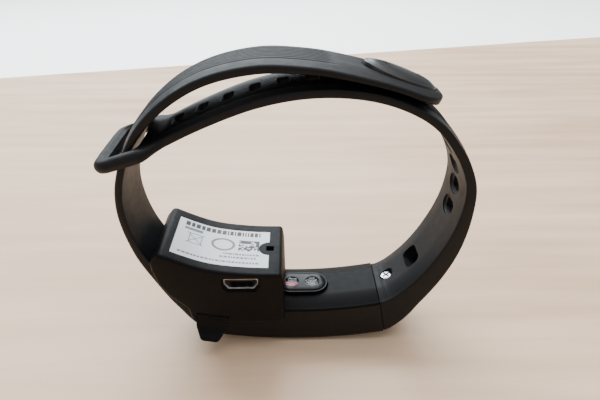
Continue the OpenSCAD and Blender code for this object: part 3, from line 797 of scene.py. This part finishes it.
def make_housing():
    half, edge = TRACKER_HALF, 1.3
    lens_half = half - 0.9
    lens_seat = FRONT_R - 1.1
    wall = 1.2
    turn = np.radians(np.arange(0, 91, 15))
    corner = [(FRONT_R - 0.25 - edge * (1 - math.sin(a)), half - edge * (1 - math.cos(a))) for a in turn]
    outline = [(SIDE_R, -half), (SIDE_R, half), *corner, *[(r, -y) for r, y in corner[::-1]]]
    body = swept("front_housing_shell", outline, -END_ANGLE, END_ANGLE, 0.12)
    lens_angle = END_ANGLE - 0.55
    seat = [(lens_seat, -lens_half - 0.05), (lens_seat, lens_half + 0.05), (FRONT_R + 3, lens_half + 0.05),
            (FRONT_R + 3, -lens_half - 0.05)]
    opening = [(lens_seat - 2, -5.7), (lens_seat - 2, 5.7), (FRONT_R, 5.7), (FRONT_R, -5.7)]
    room = [(SIDE_R - 1, wall - half), (SIDE_R - 1, half - wall), (lens_seat - 0.8, half - wall),
            (lens_seat - 0.8, wall - half)]
    cavity = END_ANGLE - 0.7
    combine(body, swept("seat", seat, -lens_angle, lens_angle), swept("opening", opening, -8, 8),
            swept("room", room, -cavity, cavity))
    combine(body, lug(-1), lug(1), operation="UNION")
    return piece(body, "front_housing")


def make_front_glass():
    half = TRACKER_HALF - 0.9
    edge = 0.9
    turn = np.radians(np.arange(0, 91, 12.857))
    corner = [(FRONT_R - edge * (1 - math.sin(a)) * 0.75, half - edge * (1 - math.cos(a))) for a in turn]
    outline = [(FRONT_R - 1.1, -half), (FRONT_R - 1.1, half), *corner, *[(r, -y) for r, y in corner[::-1]]]
    glass = swept("front_glass", outline, 0.6 - END_ANGLE, END_ANGLE - 0.6, 0.2)
    return piece(glass, "front_lens")


def make_window():
    """The raised sensor window: upright side, bevelled rim, fine groove and a flat top with two lens seats."""
    side = TRACKER_T + 0.95
    levels = [(10, 0), (side - 0.1, 0), (side - 0.02, 0.05), (side, 0.16), (side, 0.3), (side - 0.05, 0.34),
              (side - 0.05, 0.42), (side, 0.46), (PILL_TOP - 0.04, 0.62), (PILL_TOP, 0.72)]
    window = stack("sensor_window_plate", stadium(PILL_LEN, PILL_W, 20), levels, up_z(PILL_X, 0, 0))
    seats = [stack("seat", circle(LENS_R + 0.02), [(9, 0), (PILL_TOP - 0.1, 0), (PILL_TOP + 0.05, -0.15),
                                                  (PILL_TOP + 2, -0.15)],
                   up_z(PILL_X + s * LENS_PITCH / 2, 0, 0)) for s in (-1, 1)]
    combine(window, *seats)
    return piece(window, "sensor_window", sharp=24)


def make_lenses():
    top = PILL_TOP - 0.1
    domes = [stack("dome", circle(LENS_R), [(top - 0.85, 0), (top - 0.05, 0), (top - 0.01, 0.04), (top + 0.03, 0.2),
                                           (top + 0.07, 0.6), (top + 0.09, 1.1), (top + 0.095, 1.6)],
                   up_z(PILL_X + s * LENS_PITCH / 2, 0, 0)) for s in (-1, 1)]
    return piece(joined("sensor_lens_domes", domes), "sensor_lenses")


def make_emitters():
    """A square chip in a pale reflector cup under each lens."""
    parts = []
    for s in (-1, 1):
        x = PILL_X + s * LENS_PITCH / 2
        parts.append(stack("chip", box_outline(1.7, 1.7, 0.12), soft(9.9, 11.4, 0, 0.08), up_z(x, 0, 0)))
        cup = stack("cup", circle(LENS_R - 0.05), [(11.0, 0), (11.6, 0)], up_z(x, 0, 0))
        bowl = stack("bowl", circle(LENS_R - 0.15), [(11.15, 0.55), (11.7, -0.05)], up_z(x, 0, 0))
        combine(cup, bowl)
        parts.append(cup)
    return piece(joined("sensor_emitters", parts), "sensor_chips", material="emitter")


def make_screws():
    parts = []
    for side in (-1, 1):
        spot = at_arc(99.6, side * (END_ANGLE + LUG_LEN / 2 * 180 / (math.pi * LUG_R) - 0.02))
        head = stack("head", circle(1.4), [(-7.2, 0.75), (-0.85, 0.75), (-0.85, 0.05), (-0.8, 0), (-0.2, 0),
                                          (-0.08, 0.08), (0.02, 0.35), (0.06, 0.8), (0.07, 1.2)], spot)
        arms = [stack("arm", box_outline(2.1, 0.56, 0.1), [(-0.8, 0.07), (0.3, 0), (1, 0)],
                      spot @ Matrix.Rotation(math.radians(a), 4, "Z")) for a in (30, 120)]
        parts.append(combine(head, *arms))
    return piece(joined("strap_screw_set", parts), "strap_screws")


# --- Cradle -----------------------------------------------------------------------------------------------------
TOP_LINE = catmull(TOP_STATIONS, 12)
UNDER_LINE = [arc_point(CORE_R, a) for a in np.arange(-2.4, -11.9, -1.55)] + [
    (-22.8, 16.9), (-26.4, 20), (-29, 23.2), (-30.6, 25.8)]


def top_at(x):
    return float(np.interp(x, TOP_LINE[:, 0], TOP_LINE[:, 1]))


def top_slice(name, above, below, grow=0.0):
    """The label's plan between two heights above and below the cradle's top, without its round notch."""
    x = np.linspace(LABEL_X[0] - grow, LABEL_X[1] + grow, 40)
    outline = [(v, top_at(v) + above) for v in x] + [(v, top_at(v) - below) for v in x[::-1]]
    slab = prism(name, outline, LABEL_Y[0] - grow, LABEL_Y[1] + grow)
    notch = stack("notch", circle(2.5 - grow), [(0, 0), (60, 0)], up_z(LABEL_X[1], 0, 0))
    return combine(slab, notch)


def lever_frame():
    return Matrix.Translation(LEVER_AT) @ Matrix.Rotation(math.radians(LEVER_TILT), 4, "Y")


def usb_outline(grow):
    w, h = 3.8 + grow, 1.3 + grow
    points = [(-w, h), (w, h), (w, 0), (w - 1, -h), (1 - w, -h), (-w, 0)]
    return [(USB_AT[0] + x, USB_AT[1] + z) for x, z in rounded(points, [0.3, 0.3, 0.35, 0.35, 0.35, 0.35], 4)]


def make_case():
    right = [(-1.9, 20), (-1.7, 8.6), (-13.6, 8.6)]
    left = [(-23.7, 8.8), (-24.6, 13.2), (-28.5, 17.2), (-30.5, 20.6), (-31.5, 24.3), (-31.7, 26.6)]
    top = [tuple(p) for p in (TOP_LINE[0], *TOP_LINE[3:-3], TOP_LINE[-1])]
    points = top + right + left
    radii = ([1.3] + [0] * (len(top) - 2) + [0.9]) + [0, 1.0, 0] + [1.0, 1.2, 2, 3, 2, 1.2]
    case = prism("cradle_shell", rounded(points, radii), -CRADLE_HALF, CRADLE_HALF, 0.8)
    channel = [(5, 0), (5, 14), (-0.5, UNDER_LINE[0][1]), *UNDER_LINE, (-34, 27.2), (-34, 0)]
    room = [(x, z - 1.5) for x, z in top if -27.5 < x < -4.2] + [(-3.9, 21.5), (-3.9, 8), (-20, 8), (-26.9, 20.2)]
    port = prism("port", usb_outline(0.3), -20, 1 - CORE_HALF)
    mouth = stack("mouth", usb_outline(0.3), [(CRADLE_HALF - 0.75, 0), (CRADLE_HALF - 0.6, -0.25),
                                              (CRADLE_HALF - 0.15, -0.3), (CRADLE_HALF + 0.1, -0.5), (20, -0.5)],
                  ACROSS)
    pill = stack("pill", stadium(PILL_LEN + 0.8, PILL_W + 0.8), [(0, 0), (PILL_TOP + 0.4, 0)], up_z(PILL_X, 0, 0))
    seat_under = [p for p in UNDER_LINE if p[0] < -4.3]
    seat_upper = [(x + 0.35, z + 1.5) for x, z in UNDER_LINE[::-1] if -26 < x < -4.3]
    seat = prism("seat", seat_under + [(-29.6, 25.6), (-27.2, 22.4)] + seat_upper, 0.1 - CORE_HALF, CORE_HALF - 0.1)
    hole = stack("hole", box_outline(1.7, 1.7, 0.2), [(18, 0), (22.85, 0), (23.4, -0.3), (30, -0.3)],
                 up_z(-5.2, 0, 0))
    px, py = LEVER_W / 2 + 0.15, 4
    pocket = stack("pocket", [(-px, -py), (px, -py), (px, py), (-px, py)], [(-20, 0), (1.2, 0)], lever_frame())
    bore = stack("bore", circle(0.5, 24), [(-LEVER_W / 2 - 1.05, 0), (LEVER_W / 2 + 1.05, 0)],
                 lever_frame() @ Matrix.Rotation(math.radians(90), 4, "Y"))
    combine(case, prism("channel", channel, -CORE_HALF, CORE_HALF),
            prism("room", room, 0.05 - CORE_HALF, CORE_HALF - 0.05))
    combine(case, port, mouth, top_slice("recess", 3, 0.3), hole, pocket, bore, pill, seat)
    return piece(case, "cradle_case", sharp=34)


def make_label():
    return piece(top_slice("cradle_label_film", -0.1, 0.25, -0.04), "cradle_label")


def mark(x0, x1, y0, y1, turn=0.0):
    """A thin printed bar on the label, from its corners in plan; it follows the curved top."""
    lift = 0.085
    cx, cy = (x0 + x1) / 2, (y0 + y1) / 2
    count = max(int((x1 - x0) / 0.8) + 1, 2)
    rings = []
    for x in np.linspace(x0 - cx, x1 - cx, count):
        ring = []
        for y, drop in ((y0 - cy, 0), (y1 - cy, 0), (y1 - cy, 0.03), (y0 - cy, 0.03)):
            px = cx + x * math.cos(turn) - y * math.sin(turn)
            py = cy + x * math.sin(turn) + y * math.cos(turn)
            ring.append((px, py, top_at(px) - lift - drop))
        rings.append(ring)
    return loft("mark", rings, ON_BAND)


def make_print():
    """Generic label print: a row of dashes, a bar, a crossed square, a plain ring, a block of random
    squares and three fine rows. None of it can be read."""
    rng = random.Random(5)
    dark, grey = [], []
    x = -26
    while x < -7.6:
        w = rng.choice((0.35, 0.8, 1.0))
        dark.append(mark(x, x + w, 4.7, 6.4))
        x += w + 0.3
    grey.append(mark(-26.0, -21.8, 3.1, 4.1))
    for y in (-1.8, 1.9):
        grey.append(mark(-24.6, -21.6, y, y + 0.2))
    for a in (-24.6, -21.8):
        grey.append(mark(a, a + 0.2, -1.6, 1.9))
    for turn in (0.82, -0.82):
        grey.append(mark(-26.0, -20.4, 0.05, 0.23, turn))
    for k in range(24):
        a = 2 * math.pi * (k + 0.5) / 24
        rx, ry = 2.55, 2.2
        cx, cy = -16.6 + rx * math.cos(a), 0.6 + ry * math.sin(a)
        grey.append(mark(cx - 0.38, cx + 0.38, cy - 0.32, cy + 0.32, a + math.pi / 2))
    cell = 0.42
    for i in range(12):
        for j in range(10):
            if rng.random() < 0.52 or i == 11 or j == 9:
                dark.append(mark(i * cell - 12.9, (i + 1) * cell - 12.9, j * cell - 1.3, (j + 1) * cell - 1.3))
    for y, start in ((-3.2, -16.2), (-4.5, -17.0), (-6.3, -26.2)):
        x = start
        while x < -8.4:
            w = rng.choice((0.3, 0.5, 0.75))
            grey.append(mark(x, x + w, y, y + 0.62))
            x += w + 0.22
    black = joined("label_print_black", dark)
    piece(black, body="cradle", slot="label_white", material="ink")
    pale = joined("label_print_grey", grey)
    piece(pale, body="cradle", slot="label_white", material="grey_ink")


def make_usb():
    front, back = 0.75 - CRADLE_HALF, 6.2 - CRADLE_HALF
    shell = prism("usb_port_shell", usb_outline(0.18), front, back, 0.08)
    inside = stack("inside", usb_outline(-0.14), [(CRADLE_HALF - 5.7, 0), (-front - 0.2, 0), (-front + 0.01, -0.14),
                                                  (20, -0.14)], ACROSS)
    combine(shell, inside)
    piece(shell, "usb_shell", sharp=28)
    x, z = USB_AT
    tongue = prism("usb_port_tongue", [(x + a, z + 0.35 + b) for a, b in box_outline(5.6, 0.6, 0.15)],
                   1.6 - CRADLE_HALF, 5.7 - CRADLE_HALF, 0.12)
    piece(tongue, "usb_tongue")


def make_lever():
    """The release lever: a plate in the wall whose tab turns outwards and narrows to a soft lip."""
    t, flare = SIDE_WALL / 2, 2.8
    stations = [[0, 1.2, 1.8], [-0.05, -0.3, 1.8], [-0.1, -1.3, 1.85], [-0.8, -3.0, 1.75], [-2.0, -4.25, 1.3],
                [-t - flare + 0.28, -5.12, 0.9], [-5.2, -6.1, 0.8]]
    line = catmull(stations, 8)
    path = line[:, :2]
    s_line = run(path)
    total = s_line[-1]

    def shape(s):
        thick = np.interp(s, s_line, line[:, 2]) / 2
        half = LEVER_W / 2 - 1.75 * smoothstep(total - 4.4, total + 0.8, s)
        nose = 0.9
        end = max(s - (total - nose), 0) / nose
        squeeze = math.sqrt(max(1 - end**2, 0.0025))
        half -= 0.6 * (1 - squeeze)
        r = min(0.42, thick * 0.9)
        return section(half, thick * squeeze, thick * squeeze, 0, 0, r * squeeze, r * squeeze)

    sideways = lever_frame() @ Matrix.Rotation(math.radians(90), 4, "Z")
    lever = ribbon("release_lever_tab", path, -1, shape, sideways)
    along = lever_frame() @ Matrix.Rotation(math.radians(90), 4, "Y")
    barrel = stack("barrel", circle(t - 0.05, 32), soft(-LEVER_W / 2, LEVER_W / 2, 0.15, 0.15), along)
    combine(lever, barrel, operation="UNION")
    bore = stack("bore", circle(0.54, 24), [(-10, 0), (10, 0)], along)
    gap = stack("gap", box_outline(2.6, 4, 0.1), [(-1.15, 0), (2.85, 0)],
                lever_frame() @ Matrix.Translation((0, 1.22, 0)))
    combine(lever, bore, gap)
    return piece(lever, "release_lever")


# --- Scene ------------------------------------------------------------------------------------------------------
def staged(name, points, material):
    mesh = bpy.data.meshes.new(name)
    mesh.from_pydata(points, [], [tuple(range(len(points)))])
    obj = bpy.data.objects.new(name, mesh)
    bpy.context.scene.collection.objects.link(obj)
    obj.data.materials.append(material)


def make_stage():
    """A pale wooden table whose far edge runs slightly askew, and a white wall behind it."""
    wood = Shader("wood_pale", 0.5)
    grain = wood.noise(9, 5, (0.09, 1, 1))
    boards = wood.noise(55, 2, (0.15, 1, 1))
    tone = wood.node("Math", {0: wood.spread(grain, 0, 0.55), 1: wood.spread(boards, 0, 0.5)}, operation="ADD")
    wood.colour(tone.outputs[0], (0.62, 0.39, 0.24), (0.95, 0.70, 0.49))
    wood.rough(grain, 0.45, 0.6)
    wood.bump(wood.noise(2, 4, (0.06, 1, 1)), 0.01)
    near, left, right, slope = -1.5, -2.5, 2.5, 0.2385
    middle = 0.264
    staged("table", [(left, near, 0), (right, near, 0), (right, middle + slope * right, 0),
                     (left, middle + slope * left, 0)], wood.material)
    white = Shader("wall_white", 0.7, Emission_Color=(1, 1, 1, 1), Emission_Strength=1.6)
    white.colour(white.spread(white.noise(300, 2), 0, 1), (0.86, 0.88, 0.9), (0.9, 0.9, 0.9))
    staged("wall", [(-4, -1.6, -0.05), (4, -1.6, -0.05), (4, 3.5, -0.05), (-4, 3.5, -0.05)], white.material)


def area_light(name, place_at, target, size, power, colour=(1, 1, 1)):
    data = bpy.data.lights.new(name, "AREA")
    data.shape = "RECTANGLE"
    data.size, data.size_y = size
    data.energy = power
    data.color = colour
    obj = bpy.data.objects.new(name, data)
    obj.location = place_at
    obj.rotation_euler = (Vector(target) - Vector(place_at)).to_track_quat("-Z", "Y").to_euler()
    bpy.context.scene.collection.objects.link(obj)


def make_lights():
    middle = (0, 0, 0.03)
    area_light("window", (-0.25, 0.7, 0.62), middle, (1.0, 0.6), 18, (0.86, 0.94, 1.0))
    area_light("ceiling", (0.1, 0.15, 0.9), middle, (0.9, 0.9), 8.5, (1.0, 0.97, 0.94))
    area_light("fill", (-0.5, -0.6, 0.35), middle, (0.5, 0.4), 0.5, (1.0, 0.96, 0.92))
    world = bpy.data.worlds.new("studio")
    world.use_nodes = True
    world.node_tree.nodes["Background"].inputs[0].default_value = (0.96, 0.98, 1.0, 1)
    world.node_tree.nodes["Background"].inputs[1].default_value = 0.45
    bpy.context.scene.world = world


def make_camera():
    data = bpy.data.cameras.new("camera")
    data.lens = 30
    data.sensor_width = 36
    data.clip_start = 0.005
    obj = bpy.data.objects.new("camera", data)
    obj.location = (0.00017, -0.09782, 0.09539)
    target = Vector((0.0021, 0.0014, 0.0367))
    obj.rotation_euler = (target - obj.location).to_track_quat("-Z", "Y").to_euler()
    bpy.context.scene.collection.objects.link(obj)
    bpy.context.scene.camera = obj


for node, obj in frame["nodes"].items():
    finish_surface(obj, SLOT_OF[node])
make_camera()
make_stage()
make_lights()
make_ring_strap()
make_stud_strap()
make_button()
make_stud()
make_cover()
make_housing()
make_front_glass()
make_window()
make_lenses()
make_emitters()
make_screws()
make_case()
make_label()
make_print()
make_usb()
make_lever()
